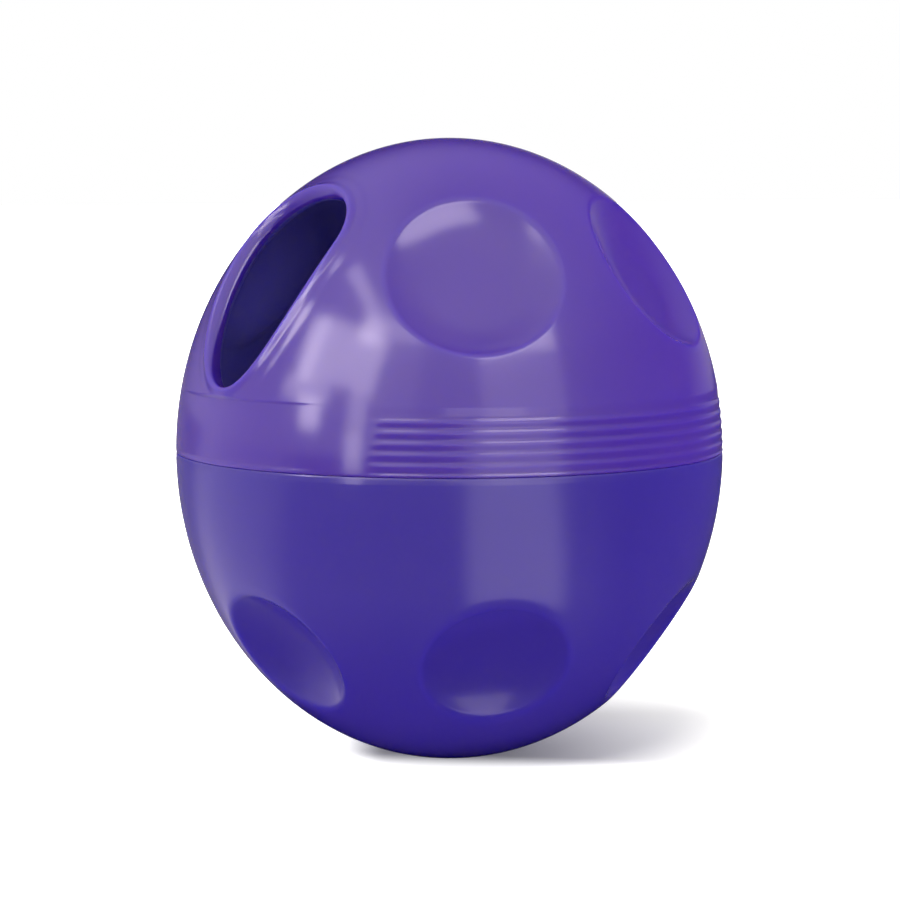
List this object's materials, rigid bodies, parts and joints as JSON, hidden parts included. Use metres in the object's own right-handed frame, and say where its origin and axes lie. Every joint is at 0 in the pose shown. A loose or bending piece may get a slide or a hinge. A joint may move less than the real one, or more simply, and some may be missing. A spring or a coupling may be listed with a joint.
{
  "type": "treat dispensing ball",
  "caption": "Hollow egg-shaped cat feeder ball in two glossy plastic shells that pull apart, with dimples round both shells and an upright egg-shaped treat opening in the upper one.",
  "frame": {"origin": "centre of the ball, on the seam between the two shells", "axes": "+Z along the ball's long axis towards the pole of the upper shell, and the treat opening faces -Y"},
  "size_m": [0.07, 0.07, 0.0794],
  "materials": {
    "upper_plastic": "polished purple moulding",
    "lower_plastic": "polished dark indigo moulding"
  },
  "bodies": {
    "lower_shell": {"lower_shell": "lower_plastic"},
    "upper_shell": {"upper_shell": "upper_plastic"}
  },
  "joints": [
    {"name": "lift_off", "type": "slide", "parent": "lower_shell", "child": "upper_shell", "axis": [0, 0, 1], "range_m": [0, 0.045]}
  ]
}
